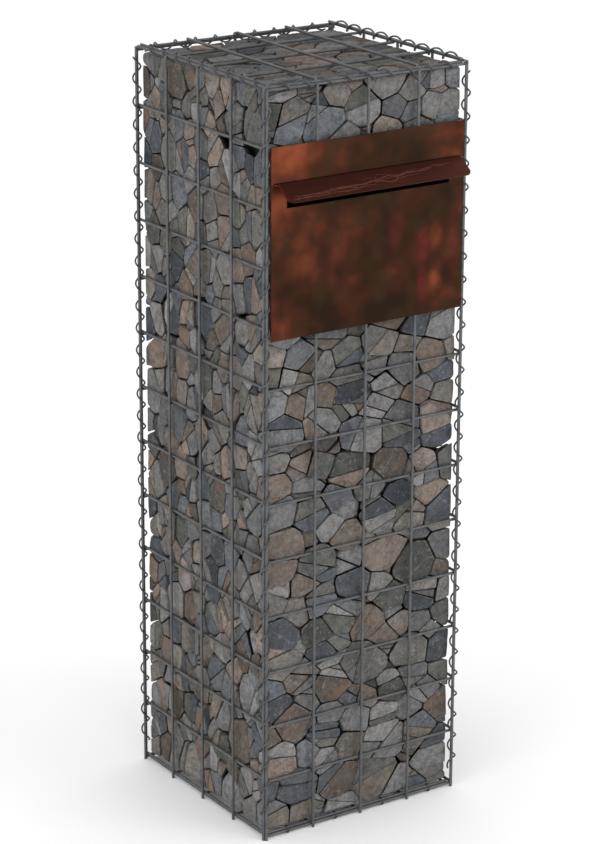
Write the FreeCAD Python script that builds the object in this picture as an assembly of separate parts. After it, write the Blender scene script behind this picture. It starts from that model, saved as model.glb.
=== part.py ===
"""Stone-filled wire cage column with a letterbox set into its head.

Millimetres.  The origin is the middle of the footprint on the ground, the letter slot faces -Y,
+X is to the right of someone facing the slot, +Z is up.
"""
import FreeCAD, Part
import math
import os
import random

os.makedirs("parts", exist_ok=True)
V = FreeCAD.Vector
X, Y, Z = V(1, 0, 0), V(0, 1, 0), V(0, 0, 1)

# ---- cage -------------------------------------------------------------------------------------
CELL = 100.0            # mesh pitch
COLS, ROWS = 4, 13      # cells across and up
WIRE_R = 2.5            # cage wire
BITE = 0.5              # how far two crossing wires sink into each other at a weld
OUTER = 200.0           # upright wires lie on this layer
INNER = OUTER - 2 * WIRE_R + BITE
EDGE = 196.4            # last upright of a panel
ROW_END = 197.0         # cross wires stop here
Z_FRONT = 8.0           # lowest cross wire, front and back panels
Z_SIDE = 13.1           # lowest cross wire, left and right panels
BASE_DROP = 2.4         # the lowest cross wires and the base panel lie this much below the even pitch
TOP_FRONT, TOP_SIDE = 1308.6, 1313.6   # upright ends
LID_X = (191.9, 11.6)   # lid and base: outermost wire along X, its |y| and height above the base level
LID_Y = (191.3, 4.5)    # lid and base: outermost wire along Y, its |x| and how far it lies outside
SPIRAL_R, SPIRAL_WIRE, SPIRAL_PITCH = 6.75, 1.5, 40.0
CORNER = 198.2          # axis of the upright spirals, |x| and |y|

# ---- letterbox --------------------------------------------------------------------------------
PLATE_W, PLATE_LO, PLATE_HI = 191.0, 894.5, 1216.5     # half width, bottom, top
PLATE_Y, PLATE_T = 203.0, 2.0
SLOT_W, SLOT_LO, SLOT_HI = 161.0, 1114.0, 1149.0
BOX_W, BOX_LO, BOX_HI, SHEET = 168.0, 912.0, 1204.0, 1.2
LIP = 13.0              # width of the box's fixing flanges
HINGE_Y, HINGE_Z = -207.45, 1155.0
ROD_R = 1.0
FLAP_W, FLAP_L, FLAP_T, FLAP_R = 182.0, 42.5, 1.0, 12.0
FLAP_REST = 56.0        # the flap stands this far open, degrees from closed
REAR_L, REAR_R = -174.0, 190.0         # rear frame, left and right edges
DOOR_L, DOOR_R, DOOR_LO, DOOR_HI = -166.0, 172.0, 905.5, 1205.5
DOOR_IN, DOOR_OUT, DOOR_T = 207.5, 217.0, 1.5
VIEW_L, VIEW_R, VIEW_LO, VIEW_HI = -145.0, 148.0, 919.5, 1191.5    # opening of the rear frame
PIN_X, PIN_Y = 178.0, 211.0
LOCK_X, LOCK_Z = -129.0, 1055.5

# ---- stones -----------------------------------------------------------------------------------
STONE_FACE = 191.9      # stones stop this far from the middle
STONE_LO, STONE_HI = 12.6, 1306.0
STRETCH = (1.22, 0.74, 0.98)      # stones lie long in X and thin in Y
SMALL, LARGE = 13.4, 32.0        # seed radii of the outer stones
SEED = 5021
BREAK, BREAK_FROM = 0.60, 26000.0    # share of the outer stones over this volume that are broken across


def export(name, shapes):
    shapes = shapes if isinstance(shapes, list) else [shapes]
    shape = shapes[0] if len(shapes) == 1 else Part.makeCompound(shapes)
    shape.exportStep("parts/%s.step" % name)
    print(name, len(shape.Solids), shape.isValid(), round(shape.Volume))


def rod(a, b, r):
    """A straight wire of radius r between two points."""
    a, b = V(*a), V(*b)
    return Part.makeCylinder(r, (b - a).Length, a, b - a)


def box(x0, x1, y0, y1, z0, z1):
    return Part.makeBox(x1 - x0, y1 - y0, z1 - z0, V(x0, y0, z0))


def weld(pieces):
    return pieces[0].multiFuse(pieces[1:]).removeSplitter()


def mirrored(shape, axis):
    return shape.mirror(V(0, 0, 0), axis)


def stations():
    """Upright wire positions across a panel."""
    inner = [CELL * (k - COLS / 2) for k in range(1, COLS)]
    return [-EDGE] + inner + [EDGE]


def row(first, k):
    """Height of cross wire k of a panel."""
    return first + CELL * k - (0.0 if k else BASE_DROP)


# ================================================================================================
# Welded panels.  Uprights outside, cross wires inside.  The front and back have a window of 4 x 3
# cells for the letterbox, so each is a lower and an upper panel between two full-height edge wires.
# ================================================================================================
WINDOW = (9, 12)        # cross wires below and above the letterbox, counted from the lowest


def part_panel(side, first, last, lo, hi):
    """Cross wires first..last and the three middle uprights from lo to hi."""
    wires = [rod((x, side * OUTER, lo), (x, side * OUTER, hi), WIRE_R) for x in stations()[1:-1]]
    for k in range(first, last + 1):
        z = row(Z_FRONT, k)
        wires.append(rod((-ROW_END, side * INNER, z), (ROW_END, side * INNER, z), WIRE_R))
    return weld(wires)


def window_panel(side):
    under, over = Z_FRONT + CELL * WINDOW[0] + 2.3, Z_FRONT + CELL * WINDOW[1] - 1.8
    edges = [rod((x, side * OUTER, 0), (x, side * OUTER, TOP_FRONT), WIRE_R) for x in (-EDGE, EDGE)]
    return edges, part_panel(side, 0, WINDOW[0], 0.0, under), part_panel(side, WINDOW[1], ROWS, over, TOP_FRONT)


def side_panel(side):
    wires = [rod((side * OUTER, y, 0), (side * OUTER, y, TOP_SIDE), WIRE_R) for y in stations()]
    for k in range(ROWS + 1):
        z = row(Z_SIDE, k)
        wires.append(rod((side * INNER, -ROW_END, z), (side * INNER, ROW_END, z), WIRE_R))
    return weld(wires)


def lid_panel(base, out):
    """Top (out = 1) or bottom (out = -1) panel: five wires each way, those along Y on the outside."""
    wires, reach = [], 193.9 if out > 0 else 192.6
    for y in (-LID_X[0], -CELL, 0, CELL, LID_X[0]):
        wires.append(rod((-192.0, y, base + LID_X[1]), (192.0, y, base + LID_X[1]), WIRE_R))
    for x in (-LID_Y[0], -CELL, 0, CELL, LID_Y[0]):
        z = base + LID_X[1] + out * LID_Y[1]
        wires.append(rod((x, -reach, z), (x, reach, z), WIRE_R))
    return weld(wires)


for end, side in (("front", -1), ("back", 1)):
    edges, lower, upper = window_panel(side)
    export(end + "_edge_wires", edges)
    export(end + "_lower_mesh", lower)
    export(end + "_upper_mesh", upper)
export("left_mesh", side_panel(-1))
export("right_mesh", side_panel(1))
export("top_mesh", lid_panel(CELL * ROWS, 1))
export("bottom_mesh", lid_panel(-BASE_DROP, -1))


# ================================================================================================
# Spiral binders: one down each upright edge, one along each top edge.  Neighbouring edges are
# wound in mirror image, so every turn passes midway between the cross wires.
# ================================================================================================
def spiral(length, radius):
    """Spring wire winding right-handed up +Z from (radius, 0, 0)."""
    path = Part.makeHelix(SPIRAL_PITCH, length, radius)
    edge = path.Edges[0]
    start, along = edge.valueAt(edge.FirstParameter), edge.tangentAt(edge.FirstParameter)
    round_wire = Part.Wire([Part.Circle(start, along, SPIRAL_WIRE).toShape()])
    return Part.Wire(path.Edges).makePipeShell([round_wire], True, True)


upright = spiral(1260.0, SPIRAL_R)
upright.translate(V(-CORNER, -CORNER, 35.55))
right_upright = mirrored(upright, X)
export("front_spirals", [upright, right_upright])
export("back_spirals", [mirrored(upright, Y), mirrored(right_upright, Y)])


def top_spiral(turn_at_middle, radius, across, height):
    """Spiral along +X through (y, z) = (across, height); turn_at_middle is measured from +Y to +Z."""
    half = 180.0
    s = spiral(2 * half, radius)
    s.rotate(V(0, 0, 0), V(1, 1, 1), 120)
    s.rotate(V(0, 0, 0), X, turn_at_middle - 360.0 * half / SPIRAL_PITCH)
    s.translate(V(-half, across, height))
    return s


FRONT_TOP, SIDE_TOP = (193.7, Z_FRONT + CELL * ROWS + 1.8), (193.4, Z_SIDE + CELL * ROWS + 1.5)
front_top = top_spiral(135.0, 6.9, -FRONT_TOP[0], FRONT_TOP[1])
side_top = top_spiral(95.0, 7.1, -SIDE_TOP[0], SIDE_TOP[1])
side_top.rotate(V(0, 0, 0), Z, -90)
export("top_spirals", [front_top, mirrored(front_top, Y), side_top, mirrored(side_top, X)])


CLIP_AT, CLIP_R, CLIP_WIRE = (193.7, Z_FRONT - BASE_DROP + 1.8), 6.3, 1.1
clips = []
for x in (-150, -50, 50, 150):
    # C-shaped wire clip closed round a panel's lowest cross wire and the base panel's edge wire
    ring = Part.makeTorus(CLIP_R, CLIP_WIRE, V(0, 0, 0), X, 0, 360, 330)
    ring.rotate(V(0, 0, 0), X, 60)
    ring.translate(V(x, -CLIP_AT[0], CLIP_AT[1]))
    clips += [ring, mirrored(ring, Y)]
export("base_clips", clips)


# ================================================================================================
# Letterbox
# ================================================================================================
def sheet_with_window(y0, y1, outer, window):
    """Sheet between y0 and y1; outer and window are (left, right, bottom, top)."""
    return box(outer[0], outer[1], y0, y1, outer[2], outer[3]).cut(
        box(window[0], window[1], y0 - 1, y1 + 1, window[2], window[3]))


def hexagon(across, thick, hole):
    """Hexagon nut standing on the XZ plane, towards +Y."""
    r = across / math.sqrt(3)
    pts = [V(r * math.cos(math.radians(60 * k)), 0, r * math.sin(math.radians(60 * k))) for k in range(7)]
    nut = Part.Face(Part.makePolygon(pts)).extrude(V(0, thick, 0))
    return nut.cut(Part.makeCylinder(hole, thick + 2, V(0, -1, 0), Y))


FRONT_FIX = [(sx * 175.0, z) for sx in (-1, 1) for z in (930.0, 1050.0, 1186.0)]
REAR_FIX = [(sx * 160.5, z) for sx in (-1, 1) for z in (930.0, 1055.5, 1181.0)]
ROD_END = 185.5

plate = sheet_with_window(-PLATE_Y - PLATE_T, -PLATE_Y, (-PLATE_W, PLATE_W, PLATE_LO, PLATE_HI),
                          (-SLOT_W, SLOT_W, SLOT_LO, SLOT_HI))
for sx in (-1, 1):
    plate = plate.cut(Part.makeCylinder(ROD_R + 0.06, 6, V(sx * ROD_END, -PLATE_Y - 4, HINGE_Z), Y))
export("front_plate", plate)

# Hinge rod: a wide staple whose ends go back through the plate.
rod_parts = [rod((-ROD_END, HINGE_Y, HINGE_Z), (ROD_END, HINGE_Y, HINGE_Z), ROD_R)]
for sx in (-1, 1):
    rod_parts.append(Part.makeSphere(ROD_R, V(sx * ROD_END, HINGE_Y, HINGE_Z)))
    rod_parts.append(rod((sx * ROD_END, HINGE_Y, HINGE_Z), (sx * ROD_END, -200.6, HINGE_Z), ROD_R))
export("flap_rod", weld(rod_parts))
push_nuts = []
for sx in (-1, 1):
    nut = Part.makeCylinder(3.6, 1.0, V(sx * ROD_END, -PLATE_Y, HINGE_Z), Y)
    push_nuts.append(nut.cut(Part.makeCylinder(ROD_R + 0.02, 4, V(sx * ROD_END, -PLATE_Y - 1, HINGE_Z), Y)))
export("push_nuts", push_nuts)

# Flap: a leaf rolled round the rod, modelled hanging closed and then turned open to rest.
ring_in = ROD_R + 0.06
ring_out = ring_in + FLAP_T
leaf = box(-FLAP_W, FLAP_W, HINGE_Y - ring_out, HINGE_Y - ring_in, HINGE_Z - FLAP_L, HINGE_Z)
for sx in (-1, 1):
    corner = box(-FLAP_R, 0, -10, 10, 0, FLAP_R) if sx > 0 else box(0, FLAP_R, -10, 10, 0, FLAP_R)
    corner.translate(V(sx * FLAP_W, HINGE_Y, HINGE_Z - FLAP_L))
    centre = V(sx * (FLAP_W - FLAP_R), HINGE_Y - 10, HINGE_Z - FLAP_L + FLAP_R)
    leaf = leaf.cut(corner.cut(Part.makeCylinder(FLAP_R, 20, centre, Y)))
roll = Part.makeCylinder(ring_out, 2 * FLAP_W, V(-FLAP_W, HINGE_Y, HINGE_Z), X)
flap = roll.fuse(leaf).cut(Part.makeCylinder(ring_in, 2 * FLAP_W + 2, V(-FLAP_W - 1, HINGE_Y, HINGE_Z), X))
flap = flap.removeSplitter()
flap.rotate(V(0, HINGE_Y, HINGE_Z), X, -FLAP_REST)
export("flap", flap)

# Box: a square tube from plate to rear frame.  Fixing flanges turn outwards at the front, inwards
# at the rear.
tube = box(-BOX_W, BOX_W, -PLATE_Y, PLATE_Y, BOX_LO, BOX_HI)
tube = tube.cut(box(-BOX_W + SHEET, BOX_W - SHEET, -PLATE_Y - 1, PLATE_Y + 1, BOX_LO + SHEET, BOX_HI - SHEET))
for sx in (-1, 1):
    for y0, inner, outer in ((-PLATE_Y, BOX_W - SHEET, BOX_W + LIP), (PLATE_Y - SHEET, BOX_W - LIP, BOX_W)):
        lo, hi = sorted((sx * inner, sx * outer))
        tube = tube.fuse(box(lo, hi, y0, y0 + SHEET, BOX_LO, BOX_HI))
for points, y0 in ((FRONT_FIX, -PLATE_Y), (REAR_FIX, PLATE_Y - SHEET)):
    for x, z in points:
        tube = tube.cut(Part.makeCylinder(2.2, 4, V(x, y0 - 1, z), Y))
export("mail_box", tube.removeSplitter())

# Front: studs welded to the plate, with nuts.  Rear: button-head screws with nuts.
export("plate_studs", [Part.makeCylinder(2.0, 10, V(x, -PLATE_Y, z), Y) for x, z in FRONT_FIX])
front_nuts, rear_nuts, screws = [], [], []
for x, z in FRONT_FIX:
    nut = hexagon(7.0, 3.2, 2.03)
    nut.translate(V(x, -PLATE_Y + SHEET, z))
    front_nuts.append(nut)
for x, z in REAR_FIX:
    nut = hexagon(7.0, 3.2, 2.03)
    nut.translate(V(x, PLATE_Y - SHEET - 3.2, z))
    rear_nuts.append(nut)
    head = Part.makeCylinder(3.9, 1.9, V(x, PLATE_Y + PLATE_T, z), Y)
    head = head.makeFillet(1.2, [e for e in head.Edges if e.BoundBox.YMin > PLATE_Y + PLATE_T + 1.8])
    socket = Part.makeCylinder(1.25, 2, V(x, PLATE_Y + PLATE_T + 0.9, z), Y)
    shank = Part.makeCylinder(2.0, 10, V(x, PLATE_Y + PLATE_T - 10, z), Y)
    screws.append(head.cut(socket).fuse(shank).removeSplitter())
export("box_nuts", front_nuts + rear_nuts)
export("rear_screws", screws)

# Rear frame, foam seal round its opening.
view = (VIEW_L, VIEW_R, VIEW_LO, VIEW_HI)
frame = sheet_with_window(PLATE_Y, PLATE_Y + PLATE_T, (REAR_L, REAR_R, PLATE_LO, PLATE_HI), view)
for x, z in REAR_FIX:
    frame = frame.cut(Part.makeCylinder(2.15, 6, V(x, PLATE_Y - 2, z), Y))
export("rear_frame", frame)
grown = [tuple(edge + side * by for edge, side in zip(view, (-1, 1, -1, 1))) for by in (8.0, 2.0)]
export("door_seal", sheet_with_window(PLATE_Y + PLATE_T, DOOR_OUT - DOOR_T - 0.3, *grown))

# Rear door: a folded tray.
door = box(DOOR_L, DOOR_R, DOOR_IN, DOOR_OUT, DOOR_LO, DOOR_HI)
door = door.makeFillet(1.2, [e for e in door.Edges if e.BoundBox.YMin > DOOR_OUT - 0.1])
door = door.cut(box(DOOR_L + DOOR_T, DOOR_R - DOOR_T, DOOR_IN - 1, DOOR_OUT - DOOR_T,
                    DOOR_LO + DOOR_T, DOOR_HI - DOOR_T))
door = door.cut(Part.makeCylinder(9.4, 20, V(LOCK_X, DOOR_IN, LOCK_Z), Y))
export("rear_door", door)

# Hinges: outer knuckles on the frame, the middle one on the door, a headed pin through each.
fixed, moving, pins = [], [], []
KNUCKLE, GAP = 14.0, 0.5
for centre in (985.0, 1126.0):
    bore = Part.makeCylinder(1.55, 60, V(PIN_X, PIN_Y, centre - 30), Z)
    for step in (-1, 0, 1):
        lo = centre + step * (KNUCKLE + GAP) - KNUCKLE / 2
        barrel = Part.makeCylinder(4.0, KNUCKLE, V(PIN_X, PIN_Y, lo), Z)
        if step:
            leaf = box(176.0, 189.0, PLATE_Y + PLATE_T, 208.2, lo, lo + KNUCKLE)
            fixed.append(barrel.fuse(leaf).removeSplitter().cut(bore))
        else:
            leaf = box(DOOR_R, 175.6, 208.4, 215.0, lo, lo + KNUCKLE)
            moving.append(barrel.fuse(leaf).removeSplitter().cut(bore))
    span = 3 * KNUCKLE + 2 * GAP
    pin = Part.makeCylinder(1.5, span + 1.0, V(PIN_X, PIN_Y, centre - span / 2 - 1.0), Z)
    head = Part.makeCylinder(2.9, 1.2, V(PIN_X, PIN_Y, centre + span / 2), Z)
    pins.append(pin.fuse(head).removeSplitter())
export("hinge_fixed", fixed)
export("hinge_moving", moving)
export("hinge_pins", pins)

# Cam lock: barrel and nut stay with the door; plug, cam, its screw and the key turn together.
barrel = Part.makeCylinder(9.3, 15.5, V(LOCK_X, 201.7, LOCK_Z), Y)
bezel = Part.makeCylinder(11.0, 2.4, V(LOCK_X, DOOR_OUT, LOCK_Z), Y)
bezel = bezel.makeFillet(1.0, [e for e in bezel.Edges if e.BoundBox.YMin > DOOR_OUT + 2.3])
lock = barrel.fuse(bezel).removeSplitter().cut(Part.makeCylinder(6.05, 30, V(LOCK_X, 195, LOCK_Z), Y))
export("lock_barrel", lock)
lock_nut = hexagon(23.0, 3.5, 9.33)
lock_nut.translate(V(LOCK_X, DOOR_OUT - DOOR_T - 3.5, LOCK_Z))
export("lock_nut", lock_nut)
plug = Part.makeCylinder(6.0, 18.6, V(LOCK_X, 201.2, LOCK_Z), Y)
plug = plug.cut(box(LOCK_X - 0.75, LOCK_X + 0.75, 204, 222, LOCK_Z - 4.1, LOCK_Z + 4.1))
plug = plug.cut(Part.makeCylinder(1.5, 3.0, V(LOCK_X, 201.0, LOCK_Z), Y))
export("lock_plug", plug)
cam = box(LOCK_X - 5, LOCK_X + 5, 199.2, 201.2, LOCK_Z, LOCK_Z + 19)
cam = cam.fuse(Part.makeCylinder(5.0, 2, V(LOCK_X, 199.2, LOCK_Z + 19), Y))
cam = cam.fuse(Part.makeCylinder(7.0, 2, V(LOCK_X, 199.2, LOCK_Z), Y)).removeSplitter()
export("lock_cam", cam.cut(Part.makeCylinder(1.6, 6, V(LOCK_X, 197, LOCK_Z), Y)))
cam_screw = Part.makeCylinder(3.2, 1.8, V(LOCK_X, 197.4, LOCK_Z), Y)
export("cam_screw", cam_screw.fuse(Part.makeCylinder(1.45, 4.2, V(LOCK_X, 199.2, LOCK_Z), Y)).removeSplitter())
blade = box(LOCK_X - 0.7, LOCK_X + 0.7, 205.0, 224.0, LOCK_Z - 4.0, LOCK_Z + 4.0)
bow = Part.makeCylinder(10.5, 1.4, V(LOCK_X - 0.7, 231.5, LOCK_Z), X)
key = blade.fuse(bow).removeSplitter().cut(Part.makeCylinder(2.5, 4, V(LOCK_X - 2, 236.5, LOCK_Z), X))
for k in range(3):
    notch = Part.makeCylinder(1.4, 4, V(LOCK_X - 2, 208.5 + 3.6 * k, LOCK_Z + 4.4), X)
    key = key.cut(notch)
export("key", key)


# ================================================================================================
# Stones.  Each is one convex block of a packing: its faces lie midway between its seed and the
# neighbours' seeds (weighted by their sizes), pulled back a little so that no two stones touch.
# ================================================================================================
rnd = random.Random(SEED)
LIMITS = ((0, STONE_FACE), (0, -STONE_FACE), (1, STONE_FACE), (1, -STONE_FACE), (2, STONE_HI), (2, STONE_LO))
CLEAR = 2.0             # stones keep this far from the letterbox
# Chamfers along the stone block's top and bottom edges: axis, spiral or clip centre, distance, up or down.
EDGE_ROOM = ((1, FRONT_TOP, 8.9, 1), (0, SIDE_TOP, 9.1, 1), (1, CLIP_AT, CLIP_R + CLIP_WIRE + 0.5, -1))


def depth(p):
    """Distance of a point from the nearest outer side of the stone filling."""
    return min(STONE_FACE - abs(p[0]), STONE_FACE - abs(p[1]), STONE_HI - p[2], p[2] - STONE_LO + 25)


def in_box(p, margin):
    return abs(p[0]) < BOX_W + CLEAR + margin and BOX_LO - CLEAR - margin < p[2] < BOX_HI + CLEAR + margin


def scatter():
    """Seeds (x, y, z, r), large ones first, none closer than their sizes allow in the stretched space."""
    seeds, grid, size = [], {}, 2.0 * LARGE
    steps = 16
    for step in range(steps):
        r_outer = LARGE + (SMALL - LARGE) * (step / (steps - 1.0)) ** 0.7
        for _ in range(900 + 420 * step):
            p = (rnd.uniform(-STONE_FACE + 4, STONE_FACE - 4), rnd.uniform(-STONE_FACE + 4, STONE_FACE - 4),
                 rnd.uniform(STONE_LO + 6, STONE_HI - 4))
            if in_box(p, 5.0):
                continue
            d = depth(p)
            r = r_outer if d < 36 else max(r_outer, 24.0) * 1.75
            u = tuple(c / s for c, s in zip(p, STRETCH))
            cell = tuple(int(c // size) for c in u)
            near = [q for i in (-2, -1, 0, 1, 2) for j in (-2, -1, 0, 1, 2) for k in (-2, -1, 0, 1, 2)
                    for q in grid.get((cell[0] + i, cell[1] + j, cell[2] + k), ())]
            if all((u[0] - q[0]) ** 2 + (u[1] - q[1]) ** 2 + (u[2] - q[2]) ** 2 > (0.88 * (r + q[3])) ** 2
                   for q in near):
                grid.setdefault(cell, []).append(u + (r,))
                seeds.append(u + (r,))
    return seeds


def block(lo, hi):
    """Box as a list of faces, each a list of points."""
    p = [(x, y, z) for x in (lo[0], hi[0]) for y in (lo[1], hi[1]) for z in (lo[2], hi[2])]
    return [[p[i] for i in f] for f in ((0, 1, 3, 2), (4, 6, 7, 5), (0, 4, 5, 1), (2, 3, 7, 6),
                                        (0, 2, 6, 4), (1, 5, 7, 3))]


def dot(a, b):
    return a[0] * b[0] + a[1] * b[1] + a[2] * b[2]


def trim(faces, n, d):
    """Keep the part of a convex block where n . p <= d."""
    if all(dot(n, p) <= d for f in faces for p in f):
        return faces
    kept, rim = [], []
    for f in faces:
        side = [dot(n, p) - d for p in f]
        out = []
        for i, p in enumerate(f):
            q, a, b = f[(i + 1) % len(f)], side[i], side[(i + 1) % len(f)]
            if a <= 0:
                out.append(p)
            if (a < 0 < b) or (b < 0 < a):
                lo, hi, t = (p, q, a / (a - b)) if a < 0 else (q, p, b / (b - a))
                c = tuple(lo[k] + (hi[k] - lo[k]) * t for k in range(3))
                out.append(c)
                rim.append(c)
        if len(out) > 2:
            kept.append(out)
    unique = []
    for c in rim:
        if all(dot(w, w) > 1e-12 for w in (tuple(c[k] - o[k] for k in range(3)) for o in unique)):
            unique.append(c)
    if len(unique) > 2:
        mid = tuple(sum(c[k] for c in unique) / len(unique) for k in range(3))
        a = V(*n).cross(V(0.31, 0.52, 0.79)).normalize()
        b = V(*n).cross(a)
        unique.sort(key=lambda c: math.atan2(dot(b, (c[0] - mid[0], c[1] - mid[1], c[2] - mid[2])),
                                             dot(a, (c[0] - mid[0], c[1] - mid[1], c[2] - mid[2]))))
        kept.append(unique)
    return kept


def tilted(axis, sign, lean):
    """Nearly axis-aligned unit vector, leaning at random."""
    n = [rnd.uniform(-lean, lean) for _ in range(3)]
    n[axis] = sign
    size = math.sqrt(dot(n, n))
    return tuple(c / size for c in n)


def stone(i, seeds):
    """Faces of the stone round seed i, and the outer sides it reaches."""
    u, r = seeds[i][:3], seeds[i][3]
    p = tuple(c * s for c, s in zip(u, STRETCH))
    reach = 2.6 * r
    faces = block([c - reach * s for c, s in zip(p, STRETCH)], [c + reach * s for c, s in zip(p, STRETCH)])
    near = sorted((sum((a - b) ** 2 for a, b in zip(u, q)), j) for j, q in enumerate(seeds) if j != i
                  and abs(u[0] - q[0]) < 220 and abs(u[1] - q[1]) < 220 and abs(u[2] - q[2]) < 220)
    gap = rnd.uniform(0.5, 1.1)
    most = max(q[3] for q in seeds)
    for d2, j in near:
        far = max(sum(((v[k] - p[k]) / STRETCH[k]) ** 2 for k in range(3)) for f in faces for v in f)
        if d2 + r * r - most * most > 2 * math.sqrt(d2 * far):
            break
        q = seeds[j]
        n = tuple((q[k] - u[k]) / STRETCH[k] for k in range(3))
        size = math.sqrt(dot(n, n))
        d = 0.5 * (dot(q[:3], q[:3]) - q[3] ** 2 - dot(u, u) + r ** 2)
        faces = trim(faces, tuple(c / size for c in n), d / size - gap)
        if not faces:
            return [], []
    sides = []
    for axis, limit in LIMITS:
        sign = 1.0 if limit > 0 and not (axis == 2 and limit == STONE_LO) else -1.0
        if faces and max(sign * v[axis] for f in faces for v in f) > sign * limit - 1.0:
            sides.append((axis, sign))
            n = tilted(axis, sign, 0.0 if sign < 0 and axis == 2 else 0.03)
            foot = list(p)
            foot[axis] = limit - sign * rnd.uniform(0.05, 1.3)
            faces = trim(faces, n, dot(n, foot))
            flat = [0.0, 0.0, 0.0]
            flat[axis] = sign
            faces = trim(faces, tuple(flat), sign * limit)
    if len(sides) > 1:
        n = [0.0, 0.0, 0.0]
        for axis, sign in sides:
            n[axis] = sign * rnd.uniform(0.8, 1.25)
        size = math.sqrt(dot(n, n))
        n = tuple(c / size for c in n)
        if faces:
            faces = trim(faces, n, max(dot(n, v) for f in faces for v in f) - rnd.uniform(0.1, 0.8))
    for axis, (across, up), keep, lift in EDGE_ROOM:
        for sign in (-1.0, 1.0):
            n = [0.0, 0.0, lift * math.sqrt(0.5)]
            n[axis] = sign * math.sqrt(0.5)
            faces = trim(faces, tuple(n), (across + lift * up) * math.sqrt(0.5) - keep)
    beside = 25.0 if any(axis == 0 for axis, sign in sides) else 0.0      # slabs between box and cage
    walls = [(p[0] - BOX_W + beside, (-1.0, 0.0, 0.0), -BOX_W - CLEAR),
             (-p[0] - BOX_W + beside, (1.0, 0.0, 0.0), -BOX_W - CLEAR),
             (p[2] - BOX_HI, (0.0, 0.0, -1.0), -BOX_HI - CLEAR), (BOX_LO - p[2], (0.0, 0.0, 1.0), BOX_LO - CLEAR)]
    away, n, d = max(walls)
    if faces:
        faces = trim(faces, n, d)
    return faces, sides


def measure(faces):
    """Volume and smallest extent of a convex block."""
    pts = [v for f in faces for v in f]
    mid = tuple(sum(v[k] for v in pts) / len(pts) for k in range(3))
    volume = 0.0
    for f in faces:
        a = [f[0][k] - mid[k] for k in range(3)]
        for s, t in zip(f[1:-1], f[2:]):
            b, c = [s[k] - mid[k] for k in range(3)], [t[k] - mid[k] for k in range(3)]
            volume += abs(dot(a, (b[1] * c[2] - b[2] * c[1], b[2] * c[0] - b[0] * c[2], b[0] * c[1] - b[1] * c[0])))
    return volume / 6, min(max(v[k] for v in pts) - min(v[k] for v in pts) for k in range(3))


def broken(faces, sides, chance):
    """Break a stone of the outer layer across its longer way, now and then more than once."""
    volume, least = measure(faces)
    if not sides or volume < BREAK_FROM or rnd.random() > chance:
        return [faces]
    axis = sides[0][0]
    swing, lean, aside = rnd.gauss(0, 0.55), rnd.uniform(-0.25, 0.25), rnd.uniform(-0.2, 0.2)
    n = {0: (lean, math.cos(swing), math.sin(swing)), 1: (math.sin(swing), lean, math.cos(swing)),
         2: (math.sin(swing), math.cos(swing), lean)}[axis]
    reach = [dot(n, v) for f in faces for v in f]
    lo, hi = min(reach), max(reach)
    cut, gap = (lo + hi) / 2 + aside * (hi - lo), rnd.uniform(0.4, 0.8)
    pieces = [trim(faces, n, cut - gap), trim(faces, tuple(-c for c in n), -cut - gap)]
    if any(len(p) < 4 or not sound(p) for p in pieces):
        return [faces]
    return [q for p in pieces for q in broken(p, sides, 0.5 * chance)]


def sound(faces):
    volume, least = measure(faces)
    return volume > 1600 and least > 7.5


def solid(faces):
    shell = Part.makeShell([Part.Face(Part.makePolygon([V(*v) for v in f + f[:1]])) for f in faces])
    shell.sewShape()
    return Part.makeSolid(shell)


NAMES = {(1, -1.0): "front_stones", (0, -1.0): "left_stones", (0, 1.0): "right_stones",
         (1, 1.0): "back_stones", (2, 1.0): "top_stones", (2, -1.0): "bottom_stones"}
piles = {name: [] for name in list(NAMES.values()) + ["core_stones"]}
seeds = scatter()
print("seeds", len(seeds))
for i in range(len(seeds)):
    faces, sides = stone(i, seeds)
    if len(faces) < 4:
        continue
    name = "core_stones"
    for side in NAMES:
        if side in sides:
            name = NAMES[side]
            break
    for part in broken(faces, sides, BREAK):
        if sound(part):
            made = solid(part)
            if made.isValid() and len(made.Solids) == 1 and made.Volume > 0:
                piles[name].append(made)
for name, pile in piles.items():
    export(name, pile)
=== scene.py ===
"""Stone-filled wire column with a copper letterbox front: stones, finishes, light and camera."""
import math

import bmesh
import bpy
import numpy as np
from mathutils import Matrix, Vector


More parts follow.
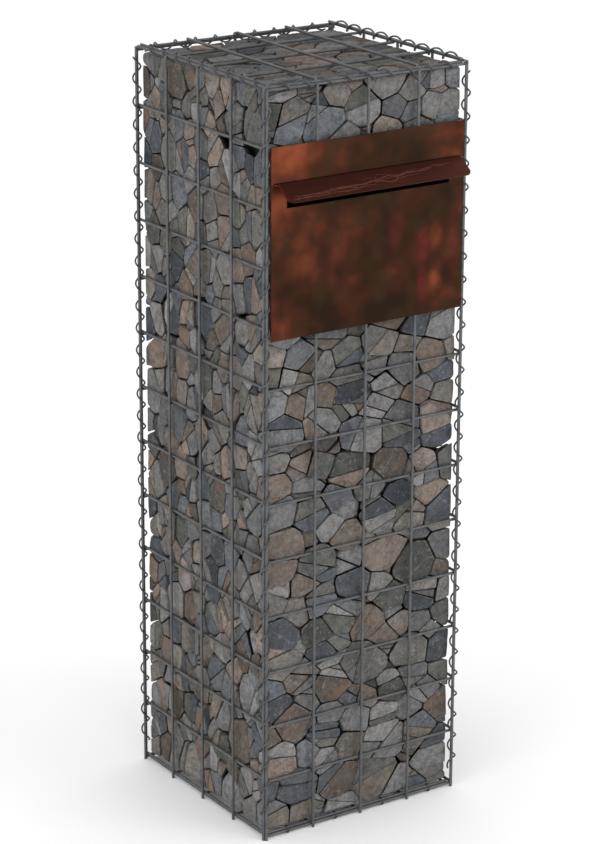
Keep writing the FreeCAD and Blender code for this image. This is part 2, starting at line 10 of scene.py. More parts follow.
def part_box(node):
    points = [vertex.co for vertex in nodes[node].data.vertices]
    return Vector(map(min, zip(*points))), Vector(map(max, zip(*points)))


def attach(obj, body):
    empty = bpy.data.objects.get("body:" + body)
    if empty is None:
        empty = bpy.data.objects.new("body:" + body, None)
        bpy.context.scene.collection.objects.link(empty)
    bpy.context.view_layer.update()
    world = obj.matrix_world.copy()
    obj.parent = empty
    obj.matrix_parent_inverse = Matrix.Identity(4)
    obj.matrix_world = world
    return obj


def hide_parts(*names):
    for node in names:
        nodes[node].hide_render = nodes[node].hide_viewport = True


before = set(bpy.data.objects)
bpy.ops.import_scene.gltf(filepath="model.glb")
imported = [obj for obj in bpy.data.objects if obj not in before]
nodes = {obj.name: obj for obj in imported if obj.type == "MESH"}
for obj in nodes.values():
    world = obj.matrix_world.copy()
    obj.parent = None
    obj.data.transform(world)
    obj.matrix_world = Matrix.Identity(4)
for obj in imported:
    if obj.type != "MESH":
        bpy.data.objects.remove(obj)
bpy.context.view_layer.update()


# ------------------------------------------------------------------------------------------------
# Small helpers for shader trees
# ------------------------------------------------------------------------------------------------
class Tree:
    """Adds and wires shader nodes in one node tree."""

    def __init__(self, tree):
        self.t = tree

    def link(self, source, target):
        self.t.links.new(source, target)

    def set(self, socket, value):
        """Links a socket to another socket, or gives it a constant."""
        if isinstance(value, bpy.types.NodeSocket):
            self.link(value, socket)
        else:
            socket.default_value = value

    def bump(self, height, strength, distance):
        return self.add("ShaderNodeBump", {"Height": height, "Strength": strength,
                                           "Distance": distance}).outputs["Normal"]

    def add(self, kind, inputs=None, **settings):
        node = self.t.nodes.new(kind)
        for name, value in settings.items():
            setattr(node, name, value)
        for key, value in (inputs or {}).items():
            self.set(node.inputs[key], value)
        return node

    def math(self, operation, a, b=0.0, clamp=False):
        return self.add("ShaderNodeMath", {0: a, 1: b}, operation=operation, use_clamp=clamp).outputs[0]

    def noise(self, vector, scale, detail=4.0, rough=0.55, distort=0.0):
        return self.add("ShaderNodeTexNoise", {"Vector": vector, "Scale": scale, "Detail": detail,
                                               "Roughness": rough, "Distortion": distort}).outputs["Fac"]

    def band(self, value, lo, hi, to_lo=0.0, to_hi=1.0, smooth=True):
        """Maps lo..hi onto to_lo..to_hi, held at both ends."""
        ends = {"Value": value, "From Min": lo, "From Max": hi, "To Min": to_lo, "To Max": to_hi}
        curve = "SMOOTHSTEP" if smooth else "LINEAR"
        return self.add("ShaderNodeMapRange", ends, clamp=True, interpolation_type=curve).outputs["Result"]

    def mix(self, factor, a, b, blend="MIX"):
        """Colour mix; sockets 0, 6, 7 and 2 are the node's factor, its two colours and its colour result."""
        node = self.add("ShaderNodeMix", data_type="RGBA", blend_type=blend)
        for index, value in ((0, factor), (6, a), (7, b)):
            self.set(node.inputs[index], value)
        return node.outputs[2]

    def ramp(self, value, stops):
        """Colour picked along a run of (position, colour) stops."""
        node = self.add("ShaderNodeValToRGB", {"Fac": value})
        elements = node.color_ramp.elements
        while len(elements) < len(stops):
            elements.new(0.5)
        for element, (where, colour) in zip(elements, stops):
            element.position, element.color = where, (*colour, 1.0)
        return node.outputs["Color"]

    def placed(self, vector, move=(0, 0, 0), scale=(1, 1, 1)):
        """The coordinates stretched and moved."""
        return self.add("ShaderNodeMapping", {"Vector": vector, "Location": move,
                                              "Scale": scale}).outputs["Vector"]

    def times(self, a, b):
        return self.math("MULTIPLY", a, b)

    def plus(self, a, b):
        return self.math("ADD", a, b)


def new_group(name, inputs, outputs):
    """Shader node group with named sockets; returns the group, its Tree, and its input and output nodes."""
    group = bpy.data.node_groups.new(name, "ShaderNodeTree")
    for label, kind, value in inputs:
        socket = group.interface.new_socket(label, in_out="INPUT", socket_type=kind)
        if value is not None:
            socket.default_value = value
    for label, kind in outputs:
        group.interface.new_socket(label, in_out="OUTPUT", socket_type=kind)
    t = Tree(group)
    return group, t, t.add("NodeGroupInput").outputs, t.add("NodeGroupOutput").inputs


FLOAT, COLOUR, VECTOR = "NodeSocketFloat", "NodeSocketColor", "NodeSocketVector"
STONE_COLOURS = [(0.00, (0.045, 0.051, 0.060)), (0.11, (0.090, 0.097, 0.109)), (0.29, (0.142, 0.141, 0.142)),
                 (0.45, (0.182, 0.177, 0.171)), (0.56, (0.078, 0.080, 0.071)), (0.68, (0.150, 0.141, 0.130)),
                 (0.79, (0.166, 0.139, 0.117)), (0.87, (0.086, 0.070, 0.060)), (0.94, (0.205, 0.160, 0.130)),
                 (1.00, (0.122, 0.127, 0.134))]


def zinc_group():
    """Zinc coat: cloudy grey patches, fine grain and dull spots, as a colour, a roughness and a height."""
    group, t, i, o = new_group("zinc_coat", [("Vector", VECTOR, None), ("Light", COLOUR, (0.4, 0.4, 0.4, 1)),
                                             ("Dark", COLOUR, (0.2, 0.2, 0.2, 1)), ("Roughness", FLOAT, 0.4)],
                               [("Color", COLOUR), ("Roughness", FLOAT), ("Height", FLOAT)])
    cloud = t.noise(i["Vector"], 55.0, 3.0)
    fine = t.noise(i["Vector"], 900.0, 3.0, 0.6)
    spots = t.band(t.noise(i["Vector"], 240.0, 2.0), 0.58, 0.7)
    shade = t.band(t.plus(t.times(cloud, 0.7), t.times(fine, 0.3)), 0.35, 0.65)
    colour = t.mix(shade, i["Dark"], i["Light"])
    t.link(t.mix(t.times(spots, 0.45), colour, i["Dark"]), o["Color"])
    rough = t.plus(i["Roughness"], t.times(t.math("SUBTRACT", fine, 0.5), 0.35))
    t.link(t.math("ADD", rough, t.times(spots, 0.18), True), o["Roughness"])
    t.link(t.plus(fine, t.times(cloud, 0.8)), o["Height"])
    return group


def painted_reflection_group():
    """Copper colour with painted reflection: soft round clouds from olive brown to orange, as a colour, a
    roughness and a height.  Bright lifts the clouds towards orange as painted highlight; Red lays a soft
    red painted reflection over them."""
    group, t, i, o = new_group("copper_reflection_clouds",
                               [("Vector", VECTOR, None), ("Bright", FLOAT, 0.0), ("Red", FLOAT, 0.0)],
                               [("Color", COLOUR), ("Roughness", FLOAT), ("Height", FLOAT)])
    v = i["Vector"]
    cloud = t.noise(t.placed(v, (0.31, 0.0, 0.12)), 14.0, 1.0, 0.4, 0.25)
    small = t.noise(v, 38.0, 1.5, 0.5, 0.2)
    level = t.plus(t.times(cloud, 0.70), t.times(small, 0.30))
    level = t.plus(level, i["Bright"])
    base = t.ramp(t.band(level, 0.34, 0.86, 0.0, 1.0, False),
                  [(0.0, (0.018, 0.010, 0.006)), (0.22, (0.026, 0.0115, 0.0066)),
                   (0.45, (0.040, 0.0140, 0.0080)), (0.72, (0.082, 0.0230, 0.0115)),
                   (1.0, (0.160, 0.0415, 0.0190))])
    olive = t.mix(t.band(t.noise(t.placed(v, (0.0, 0.0, 0.5)), 19.0, 1.0), 0.50, 0.66, 0.0, 0.55), base,
                  (0.028, 0.0175, 0.0085, 1))
    warm = t.mix(t.band(level, 0.60, 0.72), olive, base)
    red = t.mix(i["Red"], warm, (0.092, 0.0140, 0.0130, 1))
    t.link(red, o["Color"])
    t.link(t.plus(0.26, t.times(small, 0.14)), o["Roughness"])
    t.link(t.plus(t.noise(v, 7.0, 1.0), t.times(t.noise(v, 2600.0, 2.0), 0.02)), o["Height"])
    return group


ZINC, REFLECTION_GROUP = zinc_group(), painted_reflection_group()
FLAP_OPEN = 56.0       # degrees from hanging closed to rest


def new_material(name, **constants):
    """Material with a Principled BSDF; constants are set directly on its sockets."""
    m = bpy.data.materials.new(name)
    m.use_nodes = True
    shader = m.node_tree.nodes["Principled BSDF"]
    for key, value in constants.items():
        shader.inputs[key.replace("_", " ")].default_value = value
    t = Tree(m.node_tree)
    return m, t, shader.inputs, t.add("ShaderNodeTexCoord").outputs["Object"]


def zinc(name, light, dark, rough, metallic=0.85, height=0.00012):
    """Galvanised or plated steel in two greys."""
    m, t, s, v = new_material(name, Metallic=metallic)
    coat = t.add("ShaderNodeGroup", {"Vector": v, "Light": (*light, 1), "Dark": (*dark, 1),
                                     "Roughness": rough}, node_tree=ZINC).outputs
    t.link(coat["Color"], s["Base Color"])
    t.link(coat["Roughness"], s["Roughness"])
    t.link(t.bump(coat["Height"], 0.5, height), s["Normal"])
    return m


def spot(t, x, z, at_x, at_z, wide, tall):
    """Soft oval: 1 at its middle, 0 from its rim outwards."""
    dx = t.math("DIVIDE", t.math("SUBTRACT", x, at_x), wide)
    dz = t.math("DIVIDE", t.math("SUBTRACT", z, at_z), tall)
    far = t.math("SQRT", t.plus(t.times(dx, dx), t.times(dz, dz)))
    return t.band(far, 0.15, 1.0, 1.0, 0.0)


# soft ovals on the copper sheet, in metres: x, z, half width, half height, strength; orange painted
# highlights first, then red painted reflection
HIGHLIGHT_SPOTS = ((0.136, 1.034, 0.026, 0.046, 0.20), (0.134, 0.958, 0.024, 0.042, 0.24),
              (0.010, 0.945, 0.030, 0.030, 0.10), (-0.130, 0.935, 0.120, 0.050, 0.03))
RED_REFLECTION_PATCHES = ((0.110, 1.018, 0.018, 0.042, 1.0), (0.110, 0.950, 0.017, 0.040, 0.80),
               (0.055, 1.050, 0.022, 0.055, 0.35), (0.172, 1.000, 0.018, 0.090, 0.40),
               (-0.040, 0.925, 0.040, 0.040, 0.22))


def copper(name, turned):
    """Copper sheet with a painted reflection: orange painted highlight to its upper left and in its top right
    corner, dark olive brown painted reflection in the middle, red upright patches of painted reflection to
    its lower right."""
    m, t, s, v = new_material(name, Metallic=1.0)
    split = t.add("ShaderNodeSeparateXYZ", {"Vector": v}).outputs
    x = t.times(split["X"], -1.0 if turned else 1.0)
    z = split["Z"]
    # painted highlight towards the upper left, in the top right corner and at the right edge; painted darker
    # reflection low down and above the middle
    left = t.times(t.band(x, -0.185, -0.055, 1.0, 0.0), t.band(z, 0.96, 1.12, 0.22, 1.0))
    corner = t.times(t.band(x, 0.095, 0.185), t.band(z, 1.12, 1.215))
    edge = t.band(x, 0.165, 0.191, 0.0, 0.06)
    middle = t.times(spot(t, x, z, 0.02, 1.16, 0.16, 0.09), 0.10)
    dark = t.plus(t.band(z, 0.90, 0.99, 0.05, 0.0), middle)
    reflection_level = t.plus(t.times(left, 0.27), t.times(corner, 0.09))
    # orange ovals of painted highlight
    warm = 0.0
    for at_x, at_z, wide, tall, lift in HIGHLIGHT_SPOTS:
        warm = t.plus(t.times(spot(t, x, z, at_x, at_z, wide, tall), lift), warm)
    reflection_level = t.math("SUBTRACT", t.plus(t.plus(reflection_level, edge), warm), dark)
    # red upright patches of painted reflection, broken up by noise
    patches = None
    for at_x, at_z, wide, tall, strength in RED_REFLECTION_PATCHES:
        patch = t.times(spot(t, x, z, at_x, at_z, wide, tall), strength)
        patches = patch if patches is None else t.math("MAXIMUM", patches, patch)
    patches = t.times(patches, t.band(t.noise(v, 60.0, 2.0), 0.30, 0.62, 0.35, 1.0))
    reflection_out = t.add("ShaderNodeGroup", {"Vector": v, "Bright": reflection_level, "Red": patches}, node_tree=REFLECTION_GROUP).outputs
    t.link(reflection_out["Color"], s["Base Color"])
    t.link(reflection_out["Roughness"], s["Roughness"])
    t.link(t.bump(reflection_out["Height"], 0.25, 0.0006), s["Normal"])
    return m


def flap_copper():
    """Dark maroon copper with a painted reflection.  Jagged pale streaks of painted reflection wander along
    the
    leaf, climbing to the right: each is a thin band round the line across = start + slope x + noise(x).
    The left end is brighter red."""
    m, t, s, v = new_material("flap_copper", Metallic=1.0)
    x = t.add("ShaderNodeSeparateXYZ", {"Vector": v}).outputs["X"]
    low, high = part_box("flap_rod")
    axis = (0.0, float(low[1]) + 0.001, (float(low[2]) + float(high[2])) / 2)
    arm = t.add("ShaderNodeVectorMath", {0: v, 1: axis}, operation="SUBTRACT").outputs["Vector"]
    opened = math.radians(FLAP_OPEN)
    across = t.add("ShaderNodeVectorMath", {0: arm, 1: (0.0, -math.sin(opened), -math.cos(opened))},
                   operation="DOT_PRODUCT").outputs["Value"]
    left = t.band(x, -0.182, -0.175, 1.0, 0.0)
    reflection_out = t.add("ShaderNodeGroup", {"Vector": v, "Bright": t.times(left, 0.25)}, node_tree=REFLECTION_GROUP).outputs
    colour = t.mix(0.55, reflection_out["Color"], (0.088, 0.0213, 0.0152, 1))
    # painted sheen: cloudy lighter maroon over the leaf away from the hinge
    painted_sheen = t.times(t.band(t.noise(t.placed(v, scale=(0.5, 2.0, 2.0)), 34.0, 2.0), 0.50, 0.75),
                  t.band(across, 0.004, 0.020))
    colour = t.mix(t.times(painted_sheen, 0.45), colour, (0.125, 0.0290, 0.0230, 1))
    # pale streaks of painted reflection along the leaf
    streaks = None
    for number, (start, slope, swing, thin, first, last) in enumerate((
            (0.021, -0.062, 0.020, 0.0006, -0.172, 0.150), (0.026, -0.050, 0.026, 0.0005, -0.176, 0.060),
            (0.023, -0.075, 0.014, 0.0004, -0.120, 0.165), (0.033, -0.020, 0.012, 0.0005, -0.178, -0.03),
            (0.017, -0.035, 0.030, 0.0003, -0.040, 0.120), (0.029, -0.080, 0.018, 0.0003, -0.090, 0.100))):
        jag = t.add("ShaderNodeTexNoise", {"W": t.plus(x, 3.0 + number * 1.7), "Scale": 13.0 + 4 * number,
                                           "Detail": 6.0, "Roughness": 0.60},
                    noise_dimensions="1D").outputs["Fac"]
        line = t.plus(t.times(x, slope), start)
        line = t.plus(line, t.times(t.math("SUBTRACT", jag, 0.5), swing))
        off = t.math("ABSOLUTE", t.math("SUBTRACT", across, line))
        here = t.times(t.band(x, first, first + 0.02), t.band(x, last - 0.03, last, 1.0, 0.0))
        streak = t.times(t.band(off, thin * 0.5, thin * 2.2, 1.0, 0.0), here)
        streaks = streak if streaks is None else t.math("MAXIMUM", streaks, streak)
    broken = t.times(streaks, t.band(t.noise(v, 55.0, 2.0), 0.30, 0.46))
    colour = t.mix(t.times(broken, 0.85), colour, (0.220, 0.078, 0.064, 1))
    colour = t.mix(t.times(left, 0.75), colour, (0.160, 0.026, 0.015, 1))
    t.link(colour, s["Base Color"])
    t.link(t.band(broken, 0.0, 1.0, 0.42, 0.28), s["Roughness"])
    height = t.plus(t.noise(t.placed(v, scale=(0.6, 2.5, 2.5)), 22.0, 2.0), t.times(broken, 0.3))
    t.link(t.bump(height, 0.35, 0.0008), s["Normal"])
    return m


def painted(name, colour, rough):
    """Powder coat: slight orange peel, thin dust in a cloudy pattern."""
    m, t, s, v = new_material(name, Metallic=0.0)
    dust = t.band(t.noise(v, 24.0, 4.0), 0.45, 0.75, 0.0, 0.25)
    t.link(t.mix(dust, (*colour, 1), (0.20, 0.19, 0.17, 1)), s["Base Color"])
    t.link(t.plus(rough, t.times(dust, 0.6)), s["Roughness"])
    t.link(t.bump(t.noise(v, 700.0, 2.0), 0.3, 0.0002), s["Normal"])
    return m


def foam():
    """Closed-cell foam: tiny pits all over."""
    m, t, s, v = new_material("seal_foam")
    pits = t.add("ShaderNodeTexVoronoi", {"Vector": v, "Scale": 1400.0}).outputs["Distance"]
    t.link(t.mix(pits, (0.012, 0.012, 0.012, 1), (0.035, 0.034, 0.033, 1)), s["Base Color"])
    t.link(t.band(pits, 0.0, 0.7, 0.95, 0.7), s["Roughness"])
    t.link(t.bump(pits, 0.6, 0.0004), s["Normal"])
    return m


def brass():
    """Nickel-brass key blank: fine lengthwise scratches and tarnish."""
    m, t, s, v = new_material("key_brass", Metallic=1.0)
    scratch = t.noise(t.placed(v, scale=(1.0, 0.06, 1.0)), 2200.0, 3.0)
    tarnish = t.band(t.noise(v, 160.0, 3.0), 0.4, 0.7)
    t.link(t.mix(tarnish, (0.62, 0.50, 0.26, 1), (0.36, 0.27, 0.13, 1)), s["Base Color"])
    t.link(t.plus(0.2, t.times(scratch, 0.25)), s["Roughness"])
    t.link(t.bump(scratch, 0.3, 0.0001), s["Normal"])
    return m


def rubble():
    """Broken field stone.  Each stone's own random numbers pick its colour and turn its layers; the rest
    is grain, speckle, layering, iron stain, and soil and moss with painted shade where the surface lies deep
    in the pile."""
    m, t, s, v = new_material("rubble_stone", Metallic=0.0, Specular_IOR_Level=0.25)
    own = t.add("ShaderNodeAttribute", attribute_name="own").outputs["Color"]
    pick = t.add("ShaderNodeSeparateColor", {"Color": own}).outputs
    deep = t.add("ShaderNodeAttribute", attribute_name="deep").outputs["Fac"]
    rim = t.add("ShaderNodeAttribute", attribute_name="rim").outputs["Fac"]
    shift = t.add("ShaderNodeVectorMath", {0: own, 1: (7.3, 5.1, 9.7)}, operation="MULTIPLY").outputs[0]
    local = t.add("ShaderNodeVectorMath", {0: v, 1: shift}, operation="ADD").outputs[0]
    body = t.ramp(pick["Red"], STONE_COLOURS)
    cloud = t.noise(local, 34.0, 4.0, 0.65)
    patch = t.noise(local, 120.0, 3.0, 0.7)
    grain = t.noise(local, 400.0, 4.0, 0.75)
    tone = t.plus(t.band(cloud, 0.28, 0.72, 0.0, 0.62, False), t.band(patch, 0.30, 0.70, 0.0, 0.62, False))
    tone = t.plus(tone, t.band(grain, 0.28, 0.72, 0.16, 0.76, False))
    tone = t.times(tone, t.band(pick["Green"], 0.0, 1.0, 0.55, 1.20, False))
    grey = t.add("ShaderNodeCombineColor", {"Red": tone, "Green": tone, "Blue": tone}).outputs["Color"]
    colour = t.mix(1.0, body, grey, "MULTIPLY")
    # layers: thin bands across a direction that differs from stone to stone, bent by noise
    aslant = t.add("ShaderNodeVectorRotate", {"Vector": local, "Axis": (0.35, 1.0, 0.2),
                                              "Angle": t.times(pick["Blue"], 3.1)},
                   rotation_type="AXIS_ANGLE").outputs["Vector"]
    layers = t.noise(t.placed(aslant, scale=(0.8, 0.8, 2.6)), 60.0, 5.0, 0.7, 0.8)
    veined = t.band(pick["Green"], 0.30, 0.70, 0.16, 0.60)
    colour = t.mix(t.times(t.band(layers, 0.50, 0.68), veined), colour, (0.038, 0.038, 0.040, 1))
    pale = t.times(t.band(t.noise(local, 90.0, 4.0, 0.75), 0.56, 0.72), 0.50)
    colour = t.mix(pale, colour, (0.27, 0.265, 0.26, 1))
    rust = t.times(t.band(t.noise(local, 26.0, 3.0), 0.54, 0.68), t.band(pick["Red"], 0.60, 0.90, 0.04, 0.60))
    colour = t.mix(rust, colour, (0.165, 0.100, 0.062, 1))
    # paler along the stone edges, then moss and soil with painted shade in the gaps
    pale_edges = t.times(rim, t.band(patch, 0.42, 0.60, 0.0, 0.55))
    colour = t.mix(pale_edges, colour, (0.25, 0.245, 0.235, 1))
    tuft = t.times(t.band(rim, 0.25, 0.9), t.band(t.noise(v, 27.0, 4.0, 0.6), 0.60, 0.68, 0.0, 0.85))
    colour = t.mix(tuft, colour, (0.072, 0.068, 0.026, 1))
    # soil and moss colour with painted shade deep in the gaps between stones
    soil_and_shade = t.band(deep, 0.03, 0.32, 0.0, 0.94)
    moss_and_shade = t.mix(t.band(t.noise(v, 21.0, 3.0), 0.45, 0.62), (0.023, 0.019, 0.014, 1),
                 (0.038, 0.037, 0.017, 1))
    colour = t.mix(soil_and_shade, colour, moss_and_shade)
    t.link(colour, s["Base Color"])
    t.link(t.band(grain, 0.2, 0.8, 0.97, 0.78), s["Roughness"])
    pits = t.plus(t.times(grain, 0.35), t.plus(t.plus(cloud, patch), t.times(layers, 0.50)))
    t.link(t.bump(pits, 1.0, 0.0048), s["Normal"])
    return m


# ------------------------------------------------------------------------------------------------
# Broken stones
# ------------------------------------------------------------------------------------------------
def lattice_noise(p, seed):
    """Smooth value noise: random numbers on the whole-number lattice, blended by the cubic 3t^2 - 2t^3
    along each axis.  p is (n, 3); the result runs from 0 to 1."""
    cell = np.floor(p).astype(np.int64)
    f = p - cell
    f = f * f * (3 - 2 * f)
    total = np.zeros(len(p))
    for corner in range(8):
        step = np.array([corner & 1, corner >> 1 & 1, corner >> 2 & 1])
        key = (cell + step) @ np.array([73856093, 19349663, 83492791]) + seed * 2654435
        key = (key ^ (key >> 13)) * 1274126177 & 0x7FFFFFFF
        key = (key ^ (key >> 16)) * 668265263 & 0x7FFFFFFF
        weight = np.prod(np.where(step == 1, f, 1 - f), axis=1)
        total += weight * (key / 0x7FFFFFFF)
    return total


def blocks_of(node):
    """A CAD node's stones as arrays: corner points, polygon loops, and the stone number of each polygon."""
    bm = bmesh.new()
    bm.from_mesh(node.data)
    bmesh.ops.remove_doubles(bm, verts=bm.verts, dist=2e-5)
    bmesh.ops.dissolve_limit(bm, angle_limit=math.radians(0.6), verts=bm.verts, edges=bm.edges)
    bm.verts.ensure_lookup_table()
    flat = bpy.data.meshes.new("blocks")
    bm.to_mesh(flat)
    bm.free()
    points = np.empty(len(flat.vertices) * 3)
    flat.vertices.foreach_get("co", points)
    starts, counts = np.empty(len(flat.polygons), int), np.empty(len(flat.polygons), int)
    flat.polygons.foreach_get("loop_start", starts)
    flat.polygons.foreach_get("loop_total", counts)
    corner, edge = np.empty(len(flat.loops), int), np.empty(len(flat.loops), int)
    flat.loops.foreach_get("vertex_index", corner)
    flat.loops.foreach_get("edge_index", edge)
    bpy.data.meshes.remove(flat)
    points = points.reshape(-1, 3)
    face = np.repeat(np.arange(len(starts)), counts)
    after = np.arange(len(corner)) + 1
    after[starts + counts - 1] = starts
    # stones: spread the lowest corner number over each connected block
    label = np.arange(len(points))
    while True:
        low = np.minimum(label[corner], label[corner[after]])
        new = label.copy()
        np.minimum.at(new, corner, low)
        np.minimum.at(new, corner[after], low)
        if (new == label).all():
            break
        label = new
    stone = np.unique(label, return_inverse=True)[1]
    return points, corner, edge, after, face, counts, stone


CHIPS, POWER = 4, 40.0            # random extra sides of a stone; gauge power, higher is sharper
RIM_RING, INNER_RING = 0.91, 0.45         # rings of points, as a part of the way from middle to rim
BITE, BITE_RING, BITE_RIM = 0.035, 0.060, 0.085      # most that noise takes off the middle, rings and rim


def broken_stones(name, cad_name, seed, most_triangles=190000):
    """Stones inside their CAD blocks.  Each flat side carries rings of points between its middle and its
    rim; every point is then drawn towards the stone's middle by the gauge
    g = (sum over sides of max(0, n . u / h)^p)^(1/p), which rounds edges and corners, with a few extra
    random sides as chips, and by smooth noise that only ever takes material away."""
    points, corner, edge, after, face, counts, stone = blocks_of(nodes[cad_name])
    rng = np.random.default_rng(seed)
    faces, many = face.max() + 1, stone.max() + 1
    middle = np.zeros((many, 3))
    np.add.at(middle, stone, points)
    middle /= np.bincount(stone)[:, None]
    centre = np.zeros((faces, 3))
    np.add.at(centre, face, points[corner])
    centre /= counts[:, None]
    here, there = points[corner], points[corner[after]]
    normal = np.zeros((faces, 3))
    np.add.at(normal, face, np.cross(here - centre[face], there - centre[face]))
    normal /= np.linalg.norm(normal, axis=1)[:, None] + 1e-12
    owner = stone[corner[np.searchsorted(face, np.arange(faces))]]
    height = np.einsum("ij,ij->i", normal, centre - middle[owner])

    # sides of every stone as padded arrays
    order = np.argsort(owner, kind="stable")
    rank = np.arange(faces) - np.searchsorted(owner[order], owner[order])
    most = rank.max() + 1 + CHIPS
    sides, reach = np.zeros((many, most, 3)), np.ones((many, most))
    sides[owner[order], rank] = normal[order]
    reach[owner[order], rank] = np.maximum(height[order], 1e-4)
    extra = rng.normal(size=(many, CHIPS, 3))
    extra /= np.linalg.norm(extra, axis=2)[..., None]
    support = np.full((many, CHIPS), -1.0)
    from_middle = points - middle[stone]
    for k in range(CHIPS):
        np.maximum.at(support[:, k], stone, np.einsum("ij,ij->i", from_middle, extra[stone, k]))
    sides[:, -CHIPS:] = extra
    reach[:, -CHIPS:] = support * rng.uniform(0.86, 1.0, (many, CHIPS))

    # points: corners, edge middles, two rings and the middle of each side
    edges = edge.max() + 1
    mid = np.zeros((edges, 3))
    mid[edge] = (here + there) / 2
    ring_corner = centre[face] + (here - centre[face]) * RIM_RING
    ring_mid = centre[face] + ((here + there) / 2 - centre[face]) * RIM_RING
    inner = centre[face] + (here - centre[face]) * INNER_RING
    n_points, n_loops = len(points), len(corner)
    v_corner = corner
    v_mid = n_points + edge
    v_ring = n_points + edges + np.arange(n_loops)
    v_ring_mid = v_ring + n_loops
    v_inner = v_ring_mid + n_loops
    v_centre = n_points + edges + 3 * n_loops + face
    every = np.vstack([points, mid, ring_corner, ring_mid, inner, centre])
    edge_stone = np.zeros(edges, int)
    edge_stone[edge] = stone[corner]
    of_stone = np.concatenate([stone, edge_stone, *[stone[corner]] * 3, owner])

    def tri(a, b, c):
        return np.stack([a, b, c], axis=1)

    # the finest of three patterns that keeps the piece within its triangles
    outer = [tri(v_corner, v_mid, v_ring_mid), tri(v_corner, v_ring_mid, v_ring),
             tri(v_mid, v_corner[after], v_ring[after]), tri(v_mid, v_ring[after], v_ring_mid)]
    if n_loops * 8 < most_triangles:
        fans = outer + [tri(v_ring, v_ring_mid, v_inner), tri(v_ring_mid, v_inner[after], v_inner),
                        tri(v_ring_mid, v_ring[after], v_inner[after]),
                        tri(v_inner, v_inner[after], v_centre)]
    elif n_loops * 6 < most_triangles:
        fans = outer + [tri(v_ring, v_ring_mid, v_centre), tri(v_ring_mid, v_ring[after], v_centre)]
    else:
        fans = [tri(v_corner, v_mid, v_ring), tri(v_mid, v_ring[after], v_ring),
                tri(v_mid, v_corner[after], v_ring[after]), tri(v_ring, v_ring[after], v_centre)]
    used, triangles = np.unique(np.vstack(fans), return_inverse=True)
    triangles = triangles.reshape(-1, 3)

    u = every - middle[of_stone]
    gauge = np.zeros(len(every))
    for k in range(most):
        gauge += np.maximum(0.0, np.einsum("ij,ij->i", u, sides[of_stone, k]) / reach[of_stone, k]) ** POWER
    gauge = np.maximum(gauge, 1e-9) ** (1 / POWER)
    rough = 0.55 * lattice_noise(every * 75 + 17.0, seed) + 0.45 * lattice_noise(every * 190 + 5.0, seed + 3)
    bite = np.full(len(every), BITE)
    bite[:n_points + edges] = BITE_RIM
    bite[n_points + edges:n_points + edges + 2 * n_loops] = BITE_RING
    placed = (middle[of_stone] + u / gauge[:, None] * (1 - bite * rough)[:, None])[used]

    mesh = bpy.data.meshes.new(name)
    mesh.vertices.add(len(placed))
    mesh.vertices.foreach_set("co", placed.astype(np.float32).ravel())
    mesh.loops.add(len(triangles) * 3)
    mesh.loops.foreach_set("vertex_index", triangles.astype(np.int32).ravel())
    mesh.polygons.add(len(triangles))
    mesh.polygons.foreach_set("loop_start", np.arange(0, len(triangles) * 3, 3, dtype=np.int32))
    mesh.update(calc_edges=True)
    mesh.validate()
    mesh.shade_smooth()
    mesh.set_sharp_from_angle(angle=math.radians(42))
    own = mesh.attributes.new("own", "FLOAT_COLOR", "POINT")
    numbers = np.ones((len(placed), 4), np.float32)
    numbers[:, :3] = rng.random((many, 3))[of_stone[used]]
    own.data.foreach_set("color", numbers.ravel())
    # depth into the pile; the stone finish turns it into soil, moss and painted gap shade
    inward = np.minimum(SKIN_ACROSS - abs(placed[:, :2]).max(axis=1), SKIN_TOP - placed[:, 2])
    rims = mesh.attributes.new("rim", "FLOAT", "POINT")
    rims.data.foreach_set("value", (used < n_points + edges).astype(np.float32))
    deep = mesh.attributes.new("deep", "FLOAT", "POINT")
    deep.data.foreach_set("value", np.clip(inward / 0.030, 0, 1).astype(np.float32))
    piece = bpy.data.objects.new(name, mesh)
    bpy.context.scene.collection.objects.link(piece)
    mesh.materials.append(STONE)
    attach(piece, "cage")
    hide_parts(cad_name)
    print(name, many, "stones", len(mesh.polygons), "triangles")


STONE = rubble()
SKIN_ACROSS, SKIN_TOP = 0.1885, 1.3030      # levels, just under the outer faces, that depth is counted from
for count, side in enumerate(("front", "left", "right", "back", "top", "bottom", "core")):
    hidden = side in ("bottom", "core")
    broken_stones(side + "_rubble", side + "_stones", 40 + count, most_triangles=1 if hidden else 190000)

# ------------------------------------------------------------------------------------------------
# Finishes on the CAD pieces
# ------------------------------------------------------------------------------------------------
WIRE = zinc("cage_wire", (0.106, 0.108, 0.111), (0.068, 0.070, 0.073), 0.55, 0.45)
SPRING = zinc("spiral_wire", (0.080, 0.082, 0.085), (0.042, 0.044, 0.047), 0.50, 0.45)
PLATED = zinc("bright_zinc", (0.55, 0.55, 0.56), (0.33, 0.33, 0.34), 0.3, 1.0)
HINGE = zinc("hinge_steel", (0.16, 0.12, 0.10), (0.07, 0.05, 0.045), 0.42, 1.0)
CHROME = zinc("lock_chrome", (0.66, 0.66, 0.67), (0.48, 0.48, 0.50), 0.14, 1.0)
FRONT = copper("front_copper", False)
REAR = copper("rear_copper", True)
FLAP = flap_copper()
BOX = painted("box_paint", (0.018, 0.018, 0.020), 0.5)
FOAM = foam()
KEY = brass()

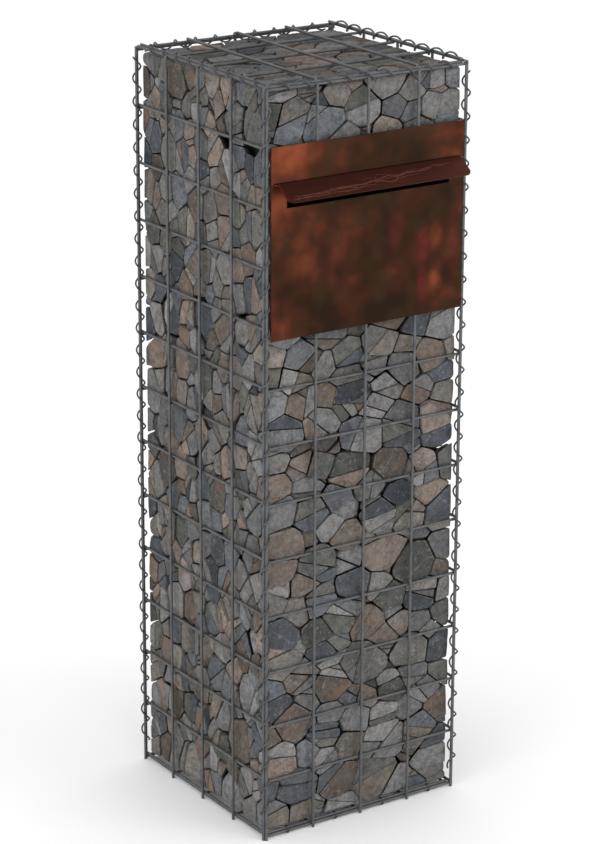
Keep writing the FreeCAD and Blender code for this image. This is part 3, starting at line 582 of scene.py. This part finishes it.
FINISHES = (
    (WIRE, "front_edge_wires front_lower_mesh front_upper_mesh back_edge_wires back_lower_mesh "
           "back_upper_mesh left_mesh right_mesh top_mesh bottom_mesh"),
    (SPRING, "front_spirals back_spirals top_spirals base_clips"),
    (PLATED, "push_nuts plate_studs box_nuts rear_screws hinge_pins lock_nut lock_cam cam_screw"),
    (HINGE, "flap_rod hinge_fixed hinge_moving"), (CHROME, "lock_barrel lock_plug"), (FRONT, "front_plate"),
    (REAR, "rear_frame rear_door"), (FLAP, "flap"), (BOX, "mail_box"), (FOAM, "door_seal"), (KEY, "key"))
FINISH = {node_name: finish for finish, names in FINISHES for node_name in names.split()}
for node_name, finish in FINISH.items():
    slots = nodes[node_name].data.materials
    if len(slots) == 0:
        slots.append(finish)
    for index in range(len(slots)):
        slots[index] = finish

# ------------------------------------------------------------------------------------------------
# Floor, light and camera
# ------------------------------------------------------------------------------------------------
def floor():
    """Large pale floor."""
    mesh = bpy.data.meshes.new("floor")
    mesh.from_pydata([(-30, -30, 0), (30, -30, 0), (30, 30, 0), (-30, 30, 0)], [], [(0, 1, 2, 3)])
    piece = bpy.data.objects.new("floor", mesh)
    bpy.context.scene.collection.objects.link(piece)
    m, t, s, v = new_material("pale_floor", Roughness=0.9, Specular_IOR_Level=0.1)
    t.link(t.mix(t.noise(v, 3.0), (0.94, 0.94, 0.94, 1), (0.96, 0.96, 0.96, 1)), s["Base Color"])
    mesh.materials.append(m)


def area_light(name, place, target, width, height, power):
    light = bpy.data.lights.new(name, "AREA")
    light.shape, light.size, light.size_y, light.energy = "RECTANGLE", width, height, power
    lamp = bpy.data.objects.new(name, light)
    lamp.location = place
    lamp.rotation_mode = "QUATERNION"
    lamp.rotation_quaternion = (Vector(target) - Vector(place)).to_track_quat("-Z", "Y")
    bpy.context.scene.collection.objects.link(lamp)


floor()
area_light("left_light", (-3.8, -1.0, 1.6), (0, 0, 0.65), 2.4, 2.6, 34)
area_light("right_light", (2.2, -3.6, 1.7), (0, 0, 0.65), 2.4, 2.6, 48)
area_light("top_light", (0.4, 1.0, 4.0), (0, 0, 0.9), 2.6, 2.6, 3)

world = bpy.data.worlds.new("studio")
world.use_nodes = True
sky = Tree(world.node_tree)
way = sky.add("ShaderNodeTexCoord").outputs["Generated"]
up = sky.add("ShaderNodeSeparateXYZ", {"Vector": way}).outputs["Z"]
backdrop = world.node_tree.nodes["Background"].inputs
sky.link(sky.mix(sky.band(up, 0.30, 1.0), (1.0, 1.0, 1.0, 1.0), (0.50, 0.50, 0.50, 1.0)), backdrop["Color"])
backdrop["Strength"].default_value = 1.46
bpy.context.scene.world = world
bpy.context.scene.view_settings.view_transform = "Standard"


def camera(place, azimuth, elevation, roll, lens):
    """Camera at a place, by bearing, downward tilt and roll in degrees; bearing 0 looks along +Y."""
    a, e, r = (math.radians(value) for value in (azimuth, elevation, roll))
    forward = Vector((-math.sin(a) * math.cos(e), math.cos(a) * math.cos(e), -math.sin(e)))
    right = Vector((math.cos(a), math.sin(a), 0))
    up = right.cross(forward)
    right, up = right * math.cos(r) + up * math.sin(r), up * math.cos(r) - right * math.sin(r)
    turn = Matrix((right, up, -forward)).transposed()
    data = bpy.data.cameras.new("camera")
    data.lens, data.sensor_width, data.sensor_fit = lens, 36.0, "AUTO"
    data.clip_start, data.clip_end = 0.1, 100.0
    eye = bpy.data.objects.new("camera", data)
    eye.matrix_world = Matrix.Translation(place) @ turn.to_4x4()
    bpy.context.scene.collection.objects.link(eye)
    bpy.context.scene.camera = eye


camera((-2.688, -4.010, 2.287), -33.87, 18.56, 0.26, 125.25)
